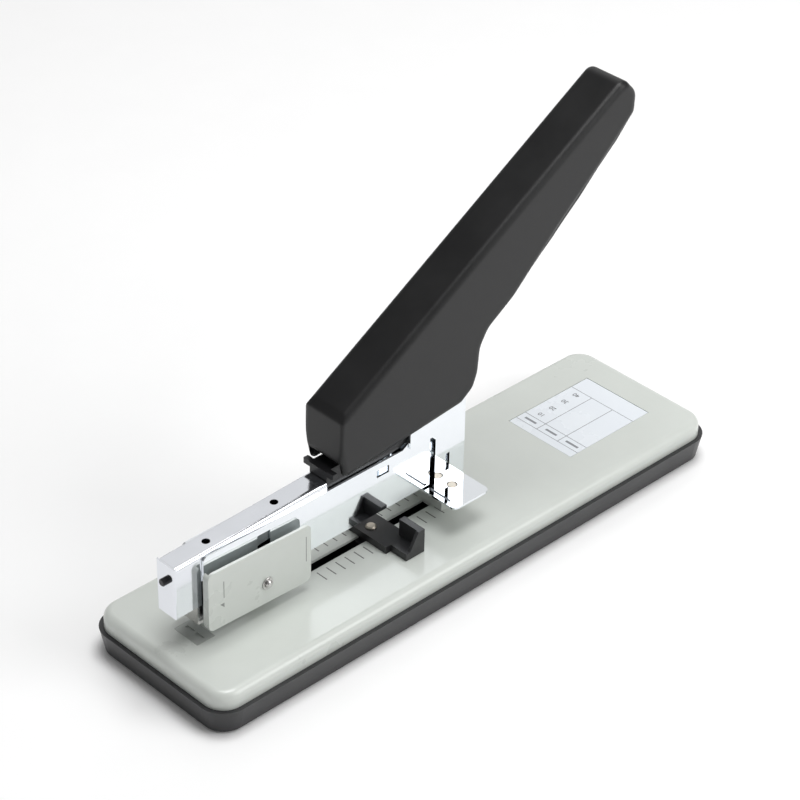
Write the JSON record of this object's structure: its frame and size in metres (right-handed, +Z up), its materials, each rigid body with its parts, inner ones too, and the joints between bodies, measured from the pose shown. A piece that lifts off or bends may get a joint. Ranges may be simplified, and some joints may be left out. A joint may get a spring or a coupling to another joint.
{
  "type": "heavy-duty stapler",
  "caption": "Free-standing long-handle stapler with a sheet-metal head, a nose-pivoted press handle, a rocking clamp foot and a sliding paper guide on a long weighted base",
  "frame": {"origin": "centre of the face the stapler rests on, under the middle of the base", "axes": "+X from the staple end towards the free end of the handle, +Y to the far side, +Z up"},
  "size_m": [0.28, 0.08, 0.1828],
  "materials": {
    "black_moulding": "fine satin moulding",
    "pale_paint": "semi-gloss baked paint",
    "foot_rubber": "soft matt rubber",
    "screw_steel": "bright steel",
    "label_film": "printed film, plain ruled table",
    "zinc_plate": "bright zinc plate",
    "rivet_metal": "nickel-washed rivet",
    "bright_plate": "bright plating",
    "black_steel": "black oxide",
    "handle_plastic": "fine satin texture",
    "grip_plastic": "satin grip"
  },
  "bodies": {
    "base": {"base_tray": "black_moulding", "base_cover": "pale_paint", "rubber_feet": "foot_rubber", "cover_screws": "screw_steel", "label_plate": "label_film", "anvil": "screw_steel", "bracket_riser": "pale_paint", "rear_bracket": "zinc_plate", "wing_rivets": "rivet_metal", "rear_pivot_pin": "screw_steel", "handle_pivot_pin": "screw_steel"},
    "head": {"magazine_frame": "zinc_plate", "nose_block": "screw_steel", "staple_rail": "screw_steel", "clamp_studs": "screw_steel", "clamp_washers": "screw_steel"},
    "clamp": {"clamp_foot": "pale_paint"},
    "driver_arm": {"driver_channel": "bright_plate", "front_plate": "bright_plate", "front_pin": "black_steel", "driver_lever": "black_steel", "lever_rivets": "screw_steel"},
    "blade": {"driver_blade": "screw_steel"},
    "handle": {"handle_shell": "handle_plastic", "handle_grip": "grip_plastic", "handle_fork": "black_steel", "roller_pin": "screw_steel", "handle_screws": "screw_steel"},
    "roller": {"press_roller": "screw_steel"},
    "guide": {"paper_guide": "black_moulding", "guide_rivet": "rivet_metal", "guide_slider": "black_moulding"},
    "follower": {"staple_follower": "black_moulding"}
  },
  "joints": [
    {"name": "handle_press", "type": "hinge", "parent": "base", "child": "handle", "pos_m": [-0.042, 0, 0.07], "axis": [0, 1, 0], "range_deg": [0, 33], "stiffness_Nm_per_rad": 0.3, "springref_deg": -45.84},
    {"name": "head_drop", "type": "hinge", "parent": "base", "child": "head", "pos_m": [0.01, 0, 0.074], "axis": [0, 1, 0], "range_deg": [-2, 0]},
    {"name": "driver_drop", "type": "hinge", "parent": "base", "child": "driver_arm", "pos_m": [0.01, 0, 0.074], "axis": [0, 1, 0], "range_deg": [-6.4, 0]},
    {"name": "blade_drive", "type": "slide", "parent": "head", "child": "blade", "axis": [0, 0, -1], "range_m": [0, 0.0098]},
    {"name": "roller_spin", "type": "hinge", "parent": "handle", "child": "roller", "pos_m": [-0.03375, 0, 0.07244], "axis": [0, 1, 0], "continuous": true},
    {"name": "clamp_rock", "type": "hinge", "parent": "head", "child": "clamp", "pos_m": [-0.09, 0, 0.0336], "axis": [0, 1, 0], "range_deg": [-1.5, 1.5]},
    {"name": "guide_slide", "type": "slide", "parent": "base", "child": "guide", "axis": [1, 0, 0], "range_m": [-0.033, 0.018]},
    {"name": "follower_slide", "type": "slide", "parent": "head", "child": "follower", "axis": [1, 0, 0], "range_m": [0, 0.026], "stiffness_N_per_m": 20, "springref_m": -0.03}
  ],
  "couplings": [
    {"joint": "head_drop", "follows": "handle_press", "ratio": -0.0606},
    {"joint": "driver_drop", "follows": "handle_press", "ratio": -0.1939},
    {"joint": "blade_drive", "follows": "handle_press", "m_per_rad": 0.017}
  ]
}
